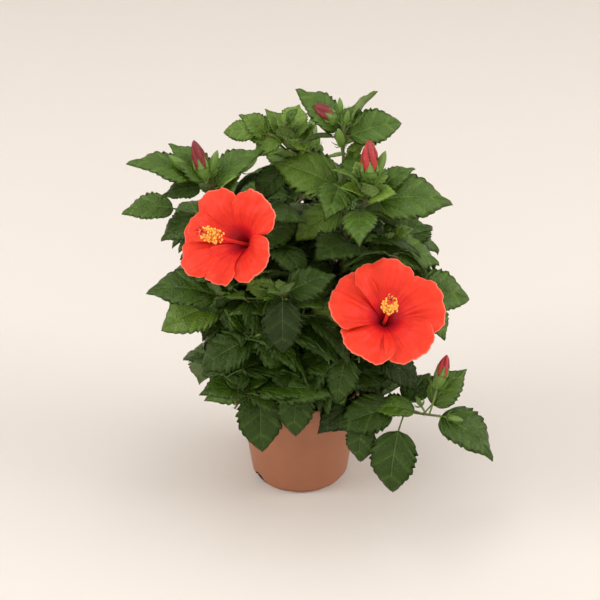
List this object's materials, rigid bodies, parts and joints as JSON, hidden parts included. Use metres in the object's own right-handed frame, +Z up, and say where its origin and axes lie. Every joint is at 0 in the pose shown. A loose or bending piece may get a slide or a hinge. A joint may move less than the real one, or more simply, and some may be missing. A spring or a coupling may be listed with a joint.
{
  "type": "potted hibiscus shrub",
  "caption": "Bushy flowering shrub in a tapered plastic nursery pot: a short stem forks into boughs with masses of toothed leaves, buds and wide five-petalled blooms.",
  "frame": {"origin": "middle of the pot's flat underside, on the surface that the pot stands on", "axes": "+Z up, -Y towards the front that the picture shows, +X to the right of that view"},
  "size_m": [0.3539, 0.2864, 0.4162],
  "materials": {
    "pot": "terracotta-brown moulded plastic, satin, a little paler where light grazes it",
    "soil": "dark moist potting soil with bark crumbs, matte",
    "bark": "young brown-green bark with raised lenticels, matte",
    "foliage": "glossy dark green leaf, paler below, young leaves yellow-green",
    "bloom": "soft coral-red petal with a crimson throat, faint radial veins"
  },
  "bodies": {
    "root": {"pot": "pot", "soil": "soil", "stem": "bark", "bough_centre": "bark", "bough_left": "bark", "bough_right": "bark", "bough_back": "bark", "bough_front": "bark", "bough_low_left": "bark", "bough_low_right": "bark", "bloom_left": "bloom", "bloom_right": "bloom", "foliage_top": "foliage", "foliage_top_left": "foliage", "foliage_upper_left": "foliage", "foliage_upper_right": "foliage", "foliage_left": "foliage", "foliage_front_left": "foliage", "foliage_low_left": "foliage", "foliage_low_front": "foliage", "foliage_front": "foliage", "foliage_front_right": "foliage", "foliage_low_right": "foliage", "foliage_right": "foliage", "foliage_side_right": "foliage", "foliage_side_left": "foliage", "foliage_back": "foliage", "foliage_back_right": "foliage", "foliage_back_left": "foliage", "foliage_back_low": "foliage"}
  },
  "joints": []
}
